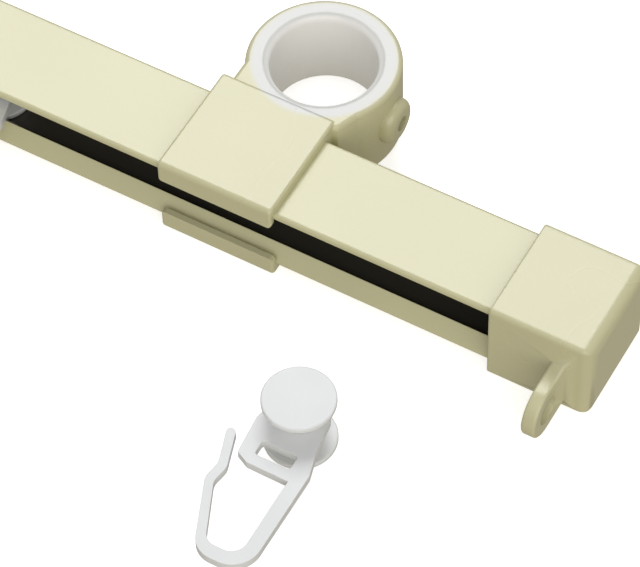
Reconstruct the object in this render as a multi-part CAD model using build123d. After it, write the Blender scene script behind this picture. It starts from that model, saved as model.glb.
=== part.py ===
from build123d import *
from math import cos, radians, sin, tan
import os

# Curtain track: a C section rail with an end cap at each end, two clip-on brackets whose
# rings slide over wall pegs, four hook gliders that roll in the rail and one hook glider
# that lies beside it. Sizes are in millimetres.
# X runs along the rail, -Y is the side of the slot, +Y the side of the rings, +Z is up.
# The origin is the centre of the right-hand bracket's ring.

# Rail: thin wall, its two lips folded back into the front to leave the slot
rail_length = 300.0
rail_width = 19.2
rail_height = 15.0
rail_wall = 0.9
rail_corner = 0.8
slot_width = 7.7
lip_angle = 47.0

# Bracket: a clip round the rail, and a ring on a neck behind it
clip_length = 23.4
clip_wall = 1.9
clip_jaw_wall = 1.1
clip_back_wall = 3.4
clip_grip = 2.8
clip_slide_gap = 0.05
clip_nose_radius = 1.0
clip_back_radius = 0.9
clip_edge_radius = 0.6
clip_jaw_corner = 1.0
clip_offset = 2.8
peg_bore = 20.0
ring_wall = 4.4
ring_height = 18.0
ring_outer_round = 1.0
ring_inner_round = 1.5
ring_setback = 14.8
neck_left = 12.6
neck_right = 11.7
neck_right_foot = 10.0
neck_foot_inset = 1.4

# Clamp screw and the boss for it on the side of the ring
boss_diameter = 8.8
boss_height = 1.8
boss_round = 1.7
screw_diameter = 3.0
screw_hole_gap = 0.05
screw_length = 4.4
screw_socket = 1.5
screw_socket_depth = 1.6
screw_point = 0.5

# End cap: a closed sleeve with a hanging eye near its end
cap_length = 20.2
cap_face_wall = 1.9
cap_side_wall = 1.2
cap_push_gap = 0.05
cap_depth = 14.5
cap_corner_radius = 2.4
cap_edge_radius = 0.9
cap_mouth_radius = 0.35
eye_hole = 5.3
eye_rim = 2.7
eye_reach = 6.15
eye_thickness = 2.7
eye_inset = 5.0
eye_below_middle = 2.4
eye_edge_radius = 0.45

# Roller: a thin disc with a long hub that turns on a stub of the hook plate
roller_diameter = 13.3
roller_thickness = 1.2
roller_rim_round = 0.35
hub_diameter = 7.5
roller_side_gap = 0.2
stub_diameter = 3.2
stub_gap = 0.05
stub_end_gap = 0.15
roller_cover = 0.7
hub_side_gap = 0.2

# Hook plate, measured from the rollers' axis: across (along X) and down (out of the slot)
plate_thickness = 1.8
plate_top_radius = 5.4
plate_left_shoulder = 6.4
plate_left_foot = 5.7
plate_shoulder_drop = 3.8
plate_right_shoulder = 6.3
plate_right_drop = 5.2
plate_bottom = 12.7
plate_foot_chamfer = 1.2
window_left = 3.0
window_right = 4.0
window_top = 7.5
window_rim = 2.2
window_corner = 0.6
shank_width = 2.7
shank_right = 7.6
shank_flare_drop = 10.0
hook_bottom = 32.2
hook_floor = 2.6
hook_heel_radius = 5.4
hook_toe_radius = 4.6
hook_inner_heel_radius = 3.0
hook_inner_toe_radius = 2.6
toe_left = 2.4
leg_width = 1.8
leg_knee_left = 8.1
leg_knee_drop = 18.6
leg_waist_left = 7.5
leg_waist_drop = 15.2
leg_tip_left = 9.9
leg_tip_drop = 7.8
leg_bend_radius = 3.0
leg_tip_round = 0.8

# Places along the rail and on the table
bracket_to_cap = 52.3
lead_glider_place = -55.5
glider_pitch = 28.0
glider_count = 4
roller_rest_gap = 0.06
loose_glider_place = 30.4
loose_glider_distance = 29.0

# Worked out from the sizes above
peg_radius = peg_bore / 2
ring_radius = peg_radius + ring_wall
rail_back = -ring_setback
rail_front = rail_back - rail_width
rail_middle = (rail_back + rail_front) / 2
rail_right = bracket_to_cap + cap_depth
rail_left = rail_right - rail_length
track_middle = (rail_left + rail_right) / 2
clip_top = rail_height / 2 + clip_slide_gap + clip_wall
cap_top = rail_height / 2 + cap_push_gap + cap_face_wall
cap_front = rail_front - cap_push_gap - cap_side_wall
table = -max(clip_top, cap_top)
rollers_over_all = rail_height - 2 * (rail_wall + roller_side_gap)
roller_inner_face = rollers_over_all / 2 - roller_thickness
lip_sine = sin(radians(lip_angle))
lip_slope = cos(radians(lip_angle)) / lip_sine
lip_root = rail_front - rail_corner * (1 / tan(radians(lip_angle / 2)) - 1)


def rail_outline(gap):
    """Closed outline of the rail on the YZ plane, with a gap all round it."""
    block = Rectangle(rail_width + 2 * gap, rail_height + 2 * gap)
    return Pos(rail_middle, 0) * fillet(block.vertices(), rail_corner + gap)


def track_profile():
    """One long rail: back wall, two wide faces and the two lips folded inwards."""
    half = rail_height / 2
    lip_end = lip_root + (half - slot_width / 2) * lip_slope
    skin = FilletPolyline(
        (lip_end, slot_width / 2),
        (lip_root, half),
        (rail_back, half),
        (rail_back, -half),
        (lip_root, -half),
        (lip_end, -slot_width / 2),
        radius=rail_corner,
    )
    section = make_face(offset(skin, rail_wall, side=Side.RIGHT).edges())
    return Pos(rail_left, 0, 0) * extrude(Plane.YZ * section, rail_length)


def clip():
    """Sleeve that grips the rail, open in front between its two jaws."""
    front = rail_front - clip_slide_gap - clip_jaw_wall
    back = rail_back + clip_slide_gap + clip_back_wall
    block = Pos((front + back) / 2, 0) * Rectangle(back - front, 2 * clip_top)
    block = fillet(block.vertices().sort_by(Axis.X)[:2], clip_nose_radius)
    block = fillet(block.vertices().sort_by(Axis.X)[-2:], clip_back_radius)
    body = Pos(-clip_length / 2, 0, 0) * extrude(Plane.YZ * block, clip_length)
    body = fillet(body.faces().filter_by(Axis.X).edges(), clip_edge_radius)
    bed = extrude(Plane.YZ * rail_outline(clip_slide_gap), clip_length, both=True)
    jaw_gap = rail_height - 2 * clip_grip
    jaw_height = clip_top - jaw_gap / 2
    mouth = Rectangle(2 * clip_length, 2 * clip_top)
    for side in (-1, 1):
        jaw = Pos(0, side * (jaw_gap + jaw_height) / 2) * Rectangle(clip_length, jaw_height)
        inner_corners = jaw.vertices().filter_by(lambda v: abs(v.Y) < clip_top - jaw_height / 2)
        mouth = mouth - fillet(inner_corners, clip_jaw_corner)
    mouth_start = front - clip_jaw_wall
    mouth = Pos(0, mouth_start, 0) * extrude(Plane.XZ * mouth, mouth_start - rail_middle)
    return Pos(-clip_offset, 0, 0) * (body - bed - mouth)


def ring_and_neck():
    """Ring for the wall peg with the neck that ties it to the clip's back wall."""
    clip_back = rail_back + clip_slide_gap + clip_back_wall
    root = clip_back - clip_back_wall / 2
    leave_ring = (ring_radius ** 2 - neck_right ** 2) ** 0.5
    neck = make_face(Polyline(
        (-neck_left, 0),
        (-neck_left, root),
        (neck_right_foot - neck_foot_inset, root),
        (neck_right_foot, clip_back - neck_foot_inset),
        (neck_right, -leave_ring),
        (neck_right, 0),
        close=True,
    ))
    body = extrude(Circle(ring_radius) + neck, ring_height / 2, both=True)
    rims = body.edges().filter_by(lambda e: abs(abs(e.center().Z) - ring_height / 2) < 0.01)
    return fillet(rims, ring_outer_round)


def bracket():
    """One moulding: clip, neck, ring and the round boss for the clamp screw."""
    reach = ring_radius + boss_height
    boss = Pos(reach / 2, 0, 0) * Rot(0, 90, 0) * Cylinder(boss_diameter / 2, reach)
    boss = fillet(boss.edges().sort_by(Axis.X)[-1], boss_round)
    body = clip() + (ring_and_neck() + boss)
    body = body - Rot(0, 0, 90) * Cylinder(peg_radius, 2 * ring_height)
    bore_rims = body.edges().filter_by(GeomType.CIRCLE)
    bore_rims = bore_rims.filter_by(lambda e: abs(e.radius - peg_radius) < 0.01)
    body = fillet(bore_rims, ring_inner_round)
    screw_hole = Cylinder(screw_diameter / 2 + screw_hole_gap, 2 * reach)
    return body - Pos(reach, 0, 0) * Rot(0, 90, 0) * screw_hole


def bracket_solids():
    """The bracket in three solids that meet face to face: its back with the ring, and its two arms."""
    whole = bracket()
    seam = rail_back - rail_corner
    arm_room = Box(4 * clip_length, 4 * rail_width, 4 * clip_top, align=(Align.CENTER, Align.MAX, Align.MIN))
    upper_room = Pos(0, seam, 0) * arm_room
    lower_room = Rot(0, 180, 0) * upper_room
    return {
        "": whole - upper_room - lower_room,
        "_upper_arm": whole & upper_room,
        "_lower_arm": whole & lower_room,
    }


def clamp_screw():
    """Grub screw with a hexagon socket, its flat point level with the peg bore."""
    shank = extrude(Circle(screw_diameter / 2), screw_length)
    shank = chamfer(shank.edges().sort_by(Axis.Z)[0], screw_point)
    socket = extrude(RegularPolygon(screw_socket / 2, 6, major_radius=False), screw_socket_depth)
    shank = shank - Pos(0, 0, screw_length - screw_socket_depth) * socket
    return Pos(peg_radius, 0, 0) * Rot(0, 90, 0) * shank


def eye():
    """Flat eye on a short strap, its back buried in the end cap's slot side."""
    radius = eye_hole / 2 + eye_rim
    strap_length = eye_reach + cap_corner_radius
    blank = Circle(radius) + Pos(strap_length / 2, 0) * Rectangle(strap_length, 2 * radius)
    solid = extrude(Plane.YZ * blank, eye_thickness)
    free_edges = solid.edges().filter_by(lambda e: e.center().Y < 0.99 * strap_length)
    solid = fillet(free_edges, eye_edge_radius)
    solid = solid - Rot(0, 90, 0) * Cylinder(eye_hole / 2, 3 * eye_thickness)
    eye_x = bracket_to_cap + cap_length - eye_inset - eye_thickness
    return Pos(eye_x, cap_front - eye_reach, -eye_below_middle) * solid


def end_cap():
    """Sleeve over the rail's right end, closed, with the hanging eye on its slot side."""
    outline = Pos(rail_middle, 0) * Rectangle(2 * (rail_middle - cap_front), 2 * cap_top)
    shell = Pos(bracket_to_cap, 0, 0) * extrude(Plane.YZ * outline, cap_length)
    end_face = shell.faces().sort_by(Axis.X)[-1]
    shell = fillet(end_face.edges().filter_by(Axis.Z), cap_corner_radius)
    long_rims = shell.faces().filter_by(Axis.Z).edges().filter_by(lambda e: e.center().X > bracket_to_cap)
    shell = fillet(long_rims, cap_edge_radius)
    shell = fillet(shell.faces().sort_by(Axis.X)[0].edges(), cap_mouth_radius)
    cavity = extrude(Plane.YZ * rail_outline(cap_push_gap), cap_depth)
    return shell + eye() - Pos(bracket_to_cap, 0, 0) * cavity


def roller():
    """Thin disc and hub in one, with a blind bore; its axis is Z and its face looks out."""
    face = rollers_over_all / 2
    hub_face = plate_thickness / 2 + hub_side_gap
    bore_end = face - roller_cover
    bore_radius = stub_diameter / 2 + stub_gap
    half_section = make_face(Polyline(
        (0, bore_end),
        (bore_radius, bore_end),
        (bore_radius, hub_face),
        (hub_diameter / 2, hub_face),
        (hub_diameter / 2, roller_inner_face),
        (roller_diameter / 2, roller_inner_face),
        (roller_diameter / 2, face),
        (0, face),
        close=True,
    ))
    rim = half_section.vertices().group_by(Axis.X)[-1]
    half_section = fillet(rim, roller_rim_round)
    return revolve(Plane.XZ * half_section, Axis.Z)


def hook_outline():
    """Outline of the hook plate, its shank, round bottom and bent leg, on the XY plane."""
    shank_left = shank_right - shank_width
    inner_floor = hook_bottom - hook_floor
    outer = FilletPolyline(
        (shank_right, -shank_flare_drop),
        (shank_right, -hook_bottom),
        (-toe_left, -hook_bottom),
        (-leg_knee_left, -leg_knee_drop),
        (-leg_waist_left, -leg_waist_drop),
        (-leg_tip_left, -leg_tip_drop),
        radius=[hook_heel_radius, hook_toe_radius, leg_bend_radius, leg_bend_radius],
    )
    tip = Line((-leg_tip_left, -leg_tip_drop), (-leg_tip_left + leg_width, -leg_tip_drop))
    inner = FilletPolyline(
        (-leg_tip_left + leg_width, -leg_tip_drop),
        (-leg_waist_left + leg_width, -leg_waist_drop),
        (-leg_knee_left + leg_width, -leg_knee_drop),
        (-toe_left + leg_width / 2, -inner_floor),
        (shank_left, -inner_floor),
        (shank_left, -plate_bottom),
        radius=[leg_bend_radius, leg_bend_radius, hook_inner_toe_radius, hook_inner_heel_radius],
    )
    plate = Polyline(
        (shank_left, -plate_bottom),
        (-plate_left_foot + 2 * plate_foot_chamfer, -plate_bottom),
        (-plate_left_foot, -plate_bottom + plate_foot_chamfer),
        (-plate_left_shoulder, -plate_shoulder_drop),
        (-plate_top_radius, 0),
        (plate_top_radius, 0),
        (plate_right_shoulder, -plate_right_drop),
        (shank_right, -shank_flare_drop),
    )
    outline = make_face(outer.edges() + tip.edges() + inner.edges() + plate.edges())
    tip_corners = outline.vertices().filter_by(lambda v: abs(v.Y + leg_tip_drop) < 0.01)
    return fillet(tip_corners, leg_tip_round) + Circle(plate_top_radius)


def hook():
    """Flat hook with a window in its plate and a stub axle on each face."""
    window_bottom = plate_bottom - window_rim
    window = Rectangle(window_left + window_right, window_bottom - window_top)
    window = fillet(window.vertices(), window_corner)
    window_place = Pos((window_right - window_left) / 2, -(window_bottom + window_top) / 2)
    plate = extrude(hook_outline() - window_place * window, plate_thickness / 2, both=True)
    stub_length = rollers_over_all - 2 * (roller_cover + stub_end_gap)
    return plate + Cylinder(stub_diameter / 2, stub_length)


def running_height():
    """Distance of the rollers' axis from the rail's front, with the rims on the lips."""
    rim_centre = roller_inner_face + roller_rim_round
    skin_to_rim_centre = (rail_wall + roller_rest_gap + roller_rim_round) / lip_sine
    rim_y = lip_root + (rail_height / 2 - rim_centre) * lip_slope + skin_to_rim_centre
    return rim_y - roller_rim_round + roller_diameter / 2 - rail_front


parts = {"track_profile": track_profile()}

# Both brackets hang the same way round; the left cap is the right one turned end for end
other_end = Pos(2 * track_middle, 0, 0)
for side, place in {"right": Location(), "left": other_end}.items():
    for ending, solid in bracket_solids().items():
        parts["bracket_" + side + ending] = place * solid
    parts["clamp_screw_" + side] = place * clamp_screw()
for side, place in {"right": Location(), "left": other_end * Rot(0, 180, 0)}.items():
    parts["end_cap_" + side] = place * end_cap()

glider_places = {}
for number in range(glider_count):
    glider_x = lead_glider_place - number * glider_pitch
    glider_places["glider_" + str(number + 1)] = Pos(glider_x, rail_front + running_height(), 0)
loose_height = table + rollers_over_all / 2
loose_y = rail_front - loose_glider_distance
glider_places["loose_glider"] = Pos(loose_glider_place, loose_y, loose_height)
for name, place in glider_places.items():
    parts[name + "_hook"] = place * hook()
    parts[name + "_upper_roller"] = place * roller()
    parts[name + "_lower_roller"] = place * Rot(180, 0, 0) * roller()

os.makedirs("parts", exist_ok=True)
for name, shape in parts.items():
    export_step(shape, "parts/" + name + ".step")
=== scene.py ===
import math

import bpy
from mathutils import Matrix, Vector


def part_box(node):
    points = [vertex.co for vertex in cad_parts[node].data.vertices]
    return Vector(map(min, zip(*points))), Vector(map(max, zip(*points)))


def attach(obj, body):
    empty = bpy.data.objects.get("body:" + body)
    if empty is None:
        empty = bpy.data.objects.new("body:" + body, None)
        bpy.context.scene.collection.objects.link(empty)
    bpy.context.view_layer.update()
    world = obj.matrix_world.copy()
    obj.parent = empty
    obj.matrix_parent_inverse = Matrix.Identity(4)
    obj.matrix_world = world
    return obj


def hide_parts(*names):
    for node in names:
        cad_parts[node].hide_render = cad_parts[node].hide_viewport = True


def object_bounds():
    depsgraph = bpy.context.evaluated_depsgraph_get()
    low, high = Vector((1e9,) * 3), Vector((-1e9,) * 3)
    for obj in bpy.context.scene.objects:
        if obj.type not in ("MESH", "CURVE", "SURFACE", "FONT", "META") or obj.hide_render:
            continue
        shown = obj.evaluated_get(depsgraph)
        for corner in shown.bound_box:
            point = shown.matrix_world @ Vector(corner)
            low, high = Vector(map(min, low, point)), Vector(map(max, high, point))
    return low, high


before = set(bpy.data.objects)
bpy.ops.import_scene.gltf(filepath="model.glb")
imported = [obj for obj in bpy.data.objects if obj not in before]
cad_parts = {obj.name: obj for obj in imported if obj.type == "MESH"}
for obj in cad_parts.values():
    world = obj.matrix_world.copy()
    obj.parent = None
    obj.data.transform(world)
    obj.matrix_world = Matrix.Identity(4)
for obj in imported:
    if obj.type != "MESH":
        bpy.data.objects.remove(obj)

cad_low, cad_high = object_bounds()

# Places and sizes in metres, read from the frame where a CAD piece gives them
MM = 0.001
rail_low, rail_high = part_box("track_profile")
table_height = cad_low.z
rail_middle_x = (rail_low.x + rail_high.x) / 2
rail_back = rail_high.y
rail_half_height = rail_high.z
rail_front = rail_low.y
rail_wall = 0.9 * MM
rail_corner = 0.8 * MM
lip_angle = math.radians(47.0)
ring_centres = {"right": Vector((0.0, 0.0, 0.0)), "left": Vector((2 * rail_middle_x, 0.0, 0.0))}
peg_radius = 10.0 * MM
ring_radius = 14.4 * MM
ring_half_height = 9.0 * MM
cap_gap = 0.05 * MM
cap_side_wall = 1.2 * MM
cap_end_round = 2.3 * MM
cap_round_segments = 10

# Camera: fitted to the outlines of the photograph
camera_target = Vector((20.57, -38.3, 0.0)) * MM
camera_distance = 621.0 * MM
camera_azimuth = math.radians(30.997)
camera_elevation = math.radians(54.642)
camera_roll = math.radians(-1.948)
camera_lens = 197.8
camera_sensor_width = 36.0
camera_near = 10.0 * MM

# Light: a world of two shades that blend over a band of heights, and two boxes aimed at one point
horizon_band = (-0.1, 0.5)
light_aim = (0.02, -0.03, 0.0)
key_box = {"place": (-0.27, 0.45, 0.73), "size": 0.55, "power": 4.0}
fill_box = {"place": (0.7, -0.95, 0.65), "size": 1.7, "power": 12.0, "colour": (1.0, 0.965, 0.90)}

# Colours, linear
cream_enamel = (0.64, 0.622, 0.378)
cream_moulded = (0.64, 0.620, 0.382)
ring_white = (0.63, 0.64, 0.62)
# The bore's white is the ring's white plastic painted brighter: painted light for the shaded bore
bore_white_with_painted_light = (0.92, 0.92, 0.90)
nylon_white = (0.82, 0.84, 0.85)
# Near-black painted shade for the inside of the rail's channel
rail_inside_painted_shade = (0.06, 0.056, 0.045)
zinc_grey = (0.55, 0.55, 0.53)
paper_white = (0.93, 0.93, 0.93)
sky_shade = (0.36, 0.36, 0.37)
ground_shade = (0.39, 0.36, 0.30)
paper_glow = 0.6

# Roughness of each finish, from its lowest to its highest
enamel_roughness = (0.24, 0.26)
moulded_roughness = (0.26, 0.28)
nylon_roughness = (0.34, 0.40)
steel_roughness = (0.28, 0.42)
paper_roughness = 0.9

# Surface feel of each finish: a ripple, a grain and the radius of the edges softened by shading
enamel_feel = {
    "Ripple_size": 1.6 * MM, "Ripple_depth": 0.006 * MM,
    "Grain_size": 0.3 * MM, "Grain_depth": 0.0006 * MM, "Edge_radius": 0.2 * MM}
moulded_feel = {
    "Ripple_size": 2.2 * MM, "Ripple_depth": 0.008 * MM,
    "Grain_size": 0.12 * MM, "Grain_depth": 0.0012 * MM}
nylon_feel = {
    "Ripple_size": 1.5 * MM, "Ripple_depth": 0.004 * MM,
    "Grain_size": 0.1 * MM, "Grain_depth": 0.0008 * MM, "Edge_radius": 0.15 * MM}
steel_feel = {
    "Ripple_size": 0.5 * MM, "Ripple_depth": 0.004 * MM,
    "Grain_size": 0.08 * MM, "Grain_depth": 0.002 * MM, "Edge_radius": 0.1 * MM}
cap_edge_softness = 0.7 * MM

# How much of the drift from a colour to its second one the clouds and the mottle make
cloud_share = 0.45
mottle_share = 0.7

# Where a bracket's cream turns white, from cream to fully white
bore_blend = (peg_radius + 1.3 * MM, peg_radius + 0.1 * MM)
ring_blend = (ring_radius - 0.2 * MM, ring_radius - 1.8 * MM)
end_blend = (ring_half_height - 0.9 * MM, ring_half_height - 0.2 * MM)


# Materials

def join(tree, source, target):
    tree.links.new(source, target)


def value_node(tree, operation, first, second=None, third=None, clamp=False):
    """A Math node whose inputs are numbers or the sockets that feed them."""
    node = tree.nodes.new("ShaderNodeMath")
    node.operation = operation
    node.use_clamp = clamp
    for socket, given in zip(node.inputs, (first, second, third)):
        if given is None:
            continue
        if isinstance(given, (int, float)):
            socket.default_value = given
        else:
            join(tree, given, socket)
    return node.outputs["Value"]


def ramp_between(tree, given, start, end):
    """0 where the given value is at start, 1 where it is at end, smooth between."""
    node = tree.nodes.new("ShaderNodeMapRange")
    node.interpolation_type = "SMOOTHSTEP"
    join(tree, given, node.inputs["Value"])
    node.inputs["From Min"].default_value = start
    node.inputs["From Max"].default_value = end
    return node.outputs["Result"]


def noise(tree, coordinates, size, detail=2.0, roughness=0.5):
    """Noise between 0 and 1 whose blotches are about as wide as the size socket says."""
    node = tree.nodes.new("ShaderNodeTexNoise")
    join(tree, coordinates, node.inputs["Vector"])
    join(tree, value_node(tree, "DIVIDE", 1.0, size), node.inputs["Scale"])
    node.inputs["Detail"].default_value = detail
    node.inputs["Roughness"].default_value = roughness
    return node.outputs["Fac"]


def mix_colours(tree, factor, first, second):
    """A mix of two colours, each a plain colour or the socket that feeds it."""
    node = tree.nodes.new("ShaderNodeMix")
    node.data_type = "RGBA"
    # A Mix node has sockets for every kind of data: 0 is the factor, 6 and 7 are the colours
    join(tree, factor, node.inputs[0])
    for socket, given in ((node.inputs[6], first), (node.inputs[7], second)):
        if isinstance(given, tuple):
            socket.default_value = (*given, 1.0)
        else:
            join(tree, given, socket)
    return node.outputs[2]


def darker(colour, share):
    return tuple(share * part for part in colour)


def new_group(name, inputs, outputs):
    """An empty shader node group with named sockets, and its input and output nodes."""
    group = bpy.data.node_groups.new(name, "ShaderNodeTree")
    for socket_name, kind, start in inputs:
        socket = group.interface.new_socket(name=socket_name, in_out="INPUT", socket_type=kind)
        socket.default_value = start
    for socket_name, kind in outputs:
        group.interface.new_socket(name=socket_name, in_out="OUTPUT", socket_type=kind)
    return group, group.nodes.new("NodeGroupInput"), group.nodes.new("NodeGroupOutput")


def surface_feel_group():
    """Fine waviness of a finish laid over softened edges, as a normal."""
    group, given, result = new_group(
        "surface_feel",
        [("Ripple size", "NodeSocketFloat", 1.2 * MM), ("Ripple depth", "NodeSocketFloat", 0.01 * MM),
         ("Grain size", "NodeSocketFloat", 0.15 * MM), ("Grain depth", "NodeSocketFloat", 0.001 * MM),
         ("Edge radius", "NodeSocketFloat", 0.2 * MM)],
        [("Normal", "NodeSocketVector")],
    )
    place = group.nodes.new("ShaderNodeTexCoord").outputs["Object"]
    soft_edge = group.nodes.new("ShaderNodeBevel")
    soft_edge.samples = 6
    join(group, given.outputs["Edge radius"], soft_edge.inputs["Radius"])
    normal = soft_edge.outputs["Normal"]
    for size, depth in (("Ripple size", "Ripple depth"), ("Grain size", "Grain depth")):
        bump = group.nodes.new("ShaderNodeBump")
        join(group, noise(group, place, given.outputs[size]), bump.inputs["Height"])
        join(group, given.outputs[depth], bump.inputs["Distance"])
        join(group, normal, bump.inputs["Normal"])
        normal = bump.outputs["Normal"]
    join(group, normal, result.inputs["Normal"])
    return group


def tone_drift_group():
    """A colour that drifts a little towards a second one, in wide soft clouds and a fine mottle."""
    group, given, result = new_group(
        "tone_drift",
        [("Colour", "NodeSocketColor", (0.8, 0.8, 0.8, 1.0)),
         ("Drifts to", "NodeSocketColor", (0.7, 0.7, 0.7, 1.0)),
         ("Cloud size", "NodeSocketFloat", 20 * MM), ("Mottle size", "NodeSocketFloat", 0.5 * MM)],
        [("Colour", "NodeSocketColor"), ("Clouds", "NodeSocketFloat")],
    )
    place = group.nodes.new("ShaderNodeTexCoord").outputs["Object"]
    cloud_noise = noise(group, place, given.outputs["Cloud size"], detail=1.0)
    clouds = ramp_between(group, cloud_noise, start=0.15, end=0.85)
    mottle = noise(group, place, given.outputs["Mottle size"], detail=3.0, roughness=0.65)
    mottled = value_node(group, "MULTIPLY", mottle, mottle_share)
    share = value_node(group, "MULTIPLY_ADD", clouds, cloud_share, mottled, clamp=True)
    drifted = mix_colours(group, share, given.outputs["Colour"], given.outputs["Drifts to"])
    join(group, drifted, result.inputs["Colour"])
    join(group, clouds, result.inputs["Clouds"])
    return group


surface_feel = surface_feel_group()
tone_drift = tone_drift_group()


def place_group(tree, group, **values):
    """The group as a node of the tree; each value sets the input of that name."""
    node = tree.nodes.new("ShaderNodeGroup")
    node.node_tree = group
    for name, given in values.items():
        socket = node.inputs[name.replace("_", " ").capitalize()]
        socket.default_value = (*given, 1.0) if isinstance(given, tuple) else given
    return node


def plain_finish(name, colour, drifts_to, roughness, shine=0.8, cloud_size=22 * MM, **feel):
    """A material with the two shared effects; returns it, its tree, shader and colour."""
    material = bpy.data.materials.new(name)
    material.use_nodes = True
    tree = material.node_tree
    shader = tree.nodes["Principled BSDF"]
    drift = place_group(tree, tone_drift, Colour=colour, Drifts_to=drifts_to, Cloud_size=cloud_size)
    join(tree, drift.outputs["Colour"], shader.inputs["Base Color"])
    low, high = roughness
    gloss = value_node(tree, "MULTIPLY_ADD", drift.outputs["Clouds"], high - low, low)
    join(tree, gloss, shader.inputs["Roughness"])
    shader.inputs["Specular IOR Level"].default_value = shine
    finish = place_group(tree, surface_feel, **feel)
    join(tree, finish.outputs["Normal"], shader.inputs["Normal"])
    return material, tree, shader, drift.outputs["Colour"]


def split_place(tree, centre=(0.0, 0.0, 0.0)):
    """The surface point's X, Y and Z from a centre."""
    mapping = tree.nodes.new("ShaderNodeMapping")
    mapping.inputs["Location"].default_value = [-part for part in centre]
    join(tree, tree.nodes.new("ShaderNodeTexCoord").outputs["Object"], mapping.inputs["Vector"])
    parts = tree.nodes.new("ShaderNodeSeparateXYZ")
    join(tree, mapping.outputs["Vector"], parts.inputs["Vector"])
    return parts.outputs


def rail_enamel():
    """Satin cream enamel outside; the inside of the channel is painted near-black as painted shade."""
    material, tree, shader, colour = plain_finish(
        "rail_enamel", cream_enamel, darker(cream_enamel, 0.94), enamel_roughness, **enamel_feel)
    _, y, z = split_place(tree)
    high = value_node(tree, "ABSOLUTE", z)
    # A thin skin stays enamelled: the wide faces, the back, the sloping lips and the front corners
    skin = 0.2 * rail_wall
    lip_slope = 1 / math.tan(lip_angle)
    lip_root = rail_front - rail_corner * (1 / math.tan(lip_angle / 2) - 1)
    lip_line = lip_root + rail_half_height * lip_slope + skin / math.sin(lip_angle)
    below_face = value_node(tree, "LESS_THAN", high, rail_half_height - skin)
    before_back = value_node(tree, "LESS_THAN", y, rail_back - skin)
    past_corner = value_node(tree, "GREATER_THAN", y, rail_front + rail_corner + 0.1 * MM)
    along_lip = value_node(tree, "MULTIPLY_ADD", high, lip_slope, y)
    behind_lip = value_node(tree, "GREATER_THAN", along_lip, lip_line)
    inside = value_node(tree, "MULTIPLY", below_face, before_back)
    inside = value_node(tree, "MULTIPLY", inside, past_corner)
    inside = value_node(tree, "MULTIPLY", inside, behind_lip)
    # Behind that skin the channel's inside gets a near-black colour: painted shade, not a coating
    join(tree, mix_colours(tree, inside, colour, rail_inside_painted_shade), shader.inputs["Base Color"])
    return material


def bracket_plastic(side):
    """Cream moulded plastic that turns white on the ring's end faces and in its bore, where the white
    is painted brighter as painted light on the shaded bore wall.

    The bracket's solids meet face to face, so no edge is softened here: their seams stay hidden.
    """
    material, tree, shader, colour = plain_finish(
        "bracket_plastic_" + side, cream_moulded, darker(cream_moulded, 0.94), moulded_roughness,
        Edge_radius=0.0, **moulded_feel)
    x, y, z = split_place(tree, ring_centres[side])
    squares = value_node(
        tree, "ADD", value_node(tree, "MULTIPLY", x, x), value_node(tree, "MULTIPLY", y, y))
    radius = value_node(tree, "SQRT", squares)
    in_bore = ramp_between(tree, radius, *bore_blend)
    on_ring = ramp_between(tree, radius, *ring_blend)
    on_end = ramp_between(tree, value_node(tree, "ABSOLUTE", z), *end_blend)
    ended = mix_colours(tree, value_node(tree, "MULTIPLY", on_ring, on_end), colour, ring_white)
    # In the bore the white is painted brighter than on the ring's end faces: painted light
    join(tree, mix_colours(tree, in_bore, ended, bore_white_with_painted_light), shader.inputs["Base Color"])
    return material


def cap_plastic():
    """The brackets' cream moulded plastic, with the soft edges of the end caps."""
    return plain_finish(
        "cap_plastic", cream_moulded, darker(cream_moulded, 0.94), moulded_roughness,
        Edge_radius=cap_edge_softness, **moulded_feel)[0]


def white_nylon():
    """Smooth white nylon, slightly milky."""
    material, _, shader, _ = plain_finish(
        "white_nylon", nylon_white, darker(nylon_white, 0.97), nylon_roughness,
        shine=0.35, cloud_size=8 * MM, **nylon_feel)
    shader.inputs["Subsurface Weight"].default_value = 0.25
    shader.inputs["Subsurface Radius"].default_value = (1.0, 1.0, 1.0)
    shader.inputs["Subsurface Scale"].default_value = 0.6 * MM
    return material


def screw_steel():
    """Zinc plated steel with a fine grain."""
    material, _, shader, _ = plain_finish(
        "screw_steel", zinc_grey, darker(zinc_grey, 0.8), steel_roughness,
        shine=0.5, cloud_size=1.2 * MM, **steel_feel)
    shader.inputs["Metallic"].default_value = 1.0
    return material


def paper_floor():
    """White paper that glows a little, so it stays as white as the photograph's ground."""
    material = bpy.data.materials.new("paper_floor")
    material.use_nodes = True
    shader = material.node_tree.nodes["Principled BSDF"]
    shader.inputs["Base Color"].default_value = (*paper_white, 1.0)
    shader.inputs["Roughness"].default_value = paper_roughness
    shader.inputs["Specular IOR Level"].default_value = 0.1
    shader.inputs["Emission Color"].default_value = (1.0, 1.0, 1.0, 1.0)
    shader.inputs["Emission Strength"].default_value = paper_glow
    return material


def dress(node, material):
    """Gives a CAD node its finished material."""
    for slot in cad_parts[node].material_slots:
        slot.link = "OBJECT"
        slot.material = material


enamel = rail_enamel()
cap_cream = cap_plastic()
nylon = white_nylon()
steel = screw_steel()
dress("track_profile", enamel)
for side in ("right", "left"):
    moulded = bracket_plastic(side)
    for ending in ("", "_upper_arm", "_lower_arm"):
        dress("bracket_" + side + ending, moulded)
    dress("end_cap_" + side, cap_cream)
    dress("clamp_screw_" + side, steel)
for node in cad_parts:
    if "glider" in node:
        dress(node, nylon)


# End caps with fuller edges round the closed end

def only_select(piece):
    """Makes the piece the one selected and active object."""
    bpy.ops.object.select_all(action="DESELECT")
    piece.select_set(True)
    bpy.context.view_layer.objects.active = piece


def block(name, low, high):
    """A box between two corners, with its place in its mesh."""
    bpy.ops.object.select_all(action="DESELECT")
    bpy.ops.mesh.primitive_cube_add(size=1.0, location=(low + high) / 2, scale=high - low)
    bpy.ops.object.transform_apply(location=True, rotation=True, scale=True)
    piece = bpy.context.object
    piece.name = name
    return piece


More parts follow.
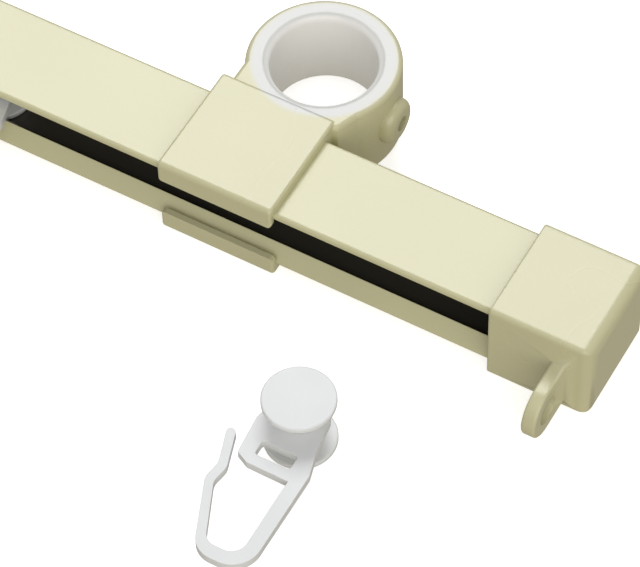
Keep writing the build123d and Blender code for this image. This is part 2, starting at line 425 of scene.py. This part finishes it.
def cut_away(piece, cutter):
    """Takes the cutter's shape out of the piece, and the cutter out of the scene."""
    only_select(piece)
    cut = piece.modifiers.new("cut", "BOOLEAN")
    cut.operation = "DIFFERENCE"
    cut.solver = "EXACT"
    cut.object = cutter
    bpy.ops.object.modifier_apply(modifier=cut.name)
    bpy.data.objects.remove(cutter)


def fuller_end_cap(side):
    """A copy of the CAD cap with its closed end's four edges rounded like the photograph's."""
    node = "end_cap_" + side
    low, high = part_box(node)
    outward = 1 if side == "right" else -1
    end_x = high.x if side == "right" else low.x
    body_low_y = rail_front - cap_gap - cap_side_wall
    body_high_y = rail_back + cap_gap + cap_side_wall
    clear = 0.01 * MM
    # What the cap may fill near its closed end: a box a hair larger, its end's edges rounded
    start_x, inner_x = end_x - outward * 2 * cap_end_round, end_x + outward * clear
    kept = block(
        "kept_" + node,
        Vector((min(start_x, inner_x), body_low_y - clear, low.z - clear)),
        Vector((max(start_x, inner_x), body_high_y + clear, high.z + clear)))
    only_select(kept)
    bpy.ops.object.mode_set(mode="EDIT")
    bpy.ops.mesh.select_all(action="DESELECT")
    bpy.ops.object.mode_set(mode="OBJECT")
    for edge in kept.data.edges:
        ends = [kept.data.vertices[index].co.x for index in edge.vertices]
        edge.select = all(abs(x - inner_x) < clear / 2 for x in ends)
    bpy.ops.object.mode_set(mode="EDIT")
    bpy.ops.mesh.select_mode(type="EDGE")
    bpy.ops.mesh.bevel(offset=cap_end_round, segments=cap_round_segments, affect="EDGES")
    bpy.ops.object.mode_set(mode="OBJECT")
    # Everything round that box, from just before the rounding starts to beyond the cap's end
    cut_start = end_x - outward * 1.15 * cap_end_round
    cut_end = end_x + outward * 2 * cap_end_round
    margin = 2 * cap_end_round
    trim = block(
        "trim_" + node,
        Vector((min(cut_start, cut_end), body_low_y - margin, low.z - margin)),
        Vector((max(cut_start, cut_end), body_high_y + margin, high.z + margin)))
    cut_away(trim, kept)
    # The copy's faces are joined along their edges before the trim cuts it
    only_select(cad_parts[node])
    bpy.ops.object.duplicate()
    cap = bpy.context.object
    cap.name = "fuller_" + node
    bpy.ops.object.mode_set(mode="EDIT")
    bpy.ops.mesh.select_all(action="SELECT")
    bpy.ops.mesh.remove_doubles(threshold=0.001 * MM)
    bpy.ops.object.mode_set(mode="OBJECT")
    cut_away(cap, trim)
    bpy.ops.object.shade_smooth_by_angle(angle=math.radians(30.0))
    # Wide flat faces rule the shading of the roundings beside them
    even = cap.modifiers.new("even_shading", "WEIGHTED_NORMAL")
    even.keep_sharp = True
    even.weight = 100
    bpy.ops.object.modifier_apply(modifier=even.name)
    cap.data.materials.clear()
    cap.data.materials.append(cap_cream)
    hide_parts(node)
    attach(cap, "track")


for side in ("right", "left"):
    fuller_end_cap(side)


# Floor, light and camera

def floor():
    """A wide sheet of paper at the height of the table."""
    bpy.ops.object.select_all(action="DESELECT")
    bpy.ops.mesh.primitive_plane_add(size=6.0, location=(0.0, 0.0, table_height))
    sheet = bpy.context.object
    sheet.name = "floor"
    bpy.ops.object.transform_apply(location=True, rotation=True, scale=True)
    sheet.data.materials.append(paper_floor())
    # The paper throws no light back on the track, so the track's sides keep their shade
    sheet.visible_diffuse = False
    sheet.visible_glossy = False


def softbox(name, place, size, power, colour=(1.0, 1.0, 1.0)):
    """A square area light at a place, turned to the lights' common aim."""
    bpy.ops.object.light_add(type="AREA", location=place)
    lamp = bpy.context.object
    lamp.name = name
    lamp.data.shape = "SQUARE"
    lamp.data.size = size
    lamp.data.energy = power
    lamp.data.color = colour
    lamp.rotation_mode = "QUATERNION"
    lamp.rotation_quaternion = (Vector(light_aim) - Vector(place)).to_track_quat("-Z", "Y")


def studio():
    """A grey sky over a warmer ground, a key box that mirrors in the top faces, a fill in front."""
    world = bpy.data.worlds.new("studio")
    world.use_nodes = True
    tree = world.node_tree
    height = tree.nodes.new("ShaderNodeSeparateXYZ")
    join(tree, tree.nodes.new("ShaderNodeTexCoord").outputs["Generated"], height.inputs["Vector"])
    sky = ramp_between(tree, height.outputs["Z"], *horizon_band)
    background = tree.nodes["Background"]
    join(tree, mix_colours(tree, sky, ground_shade, sky_shade), background.inputs["Color"])
    background.inputs["Strength"].default_value = 1.0
    bpy.context.scene.world = world
    softbox("key_softbox", **key_box)
    softbox("fill_softbox", **fill_box)


def photograph_camera():
    """The camera of the photograph: it looks along -back at its target, rolled a little."""
    flat = math.cos(camera_elevation)
    back = Vector((
        math.sin(camera_azimuth) * flat, -math.cos(camera_azimuth) * flat, math.sin(camera_elevation)))
    right = Vector((math.cos(camera_azimuth), math.sin(camera_azimuth), 0.0))
    up = back.cross(right)
    turn = Matrix.Rotation(camera_roll, 3, back)
    axes = Matrix((turn @ right, turn @ up, back)).transposed().to_4x4()
    bpy.ops.object.camera_add()
    camera = bpy.context.object
    camera.name = "photograph_camera"
    camera.matrix_world = Matrix.Translation(camera_target + back * camera_distance) @ axes
    camera.data.lens = camera_lens
    camera.data.sensor_width = camera_sensor_width
    camera.data.clip_start = camera_near
    bpy.context.scene.camera = camera


floor()
studio()
photograph_camera()
bpy.context.scene.view_settings.view_transform = "Standard"
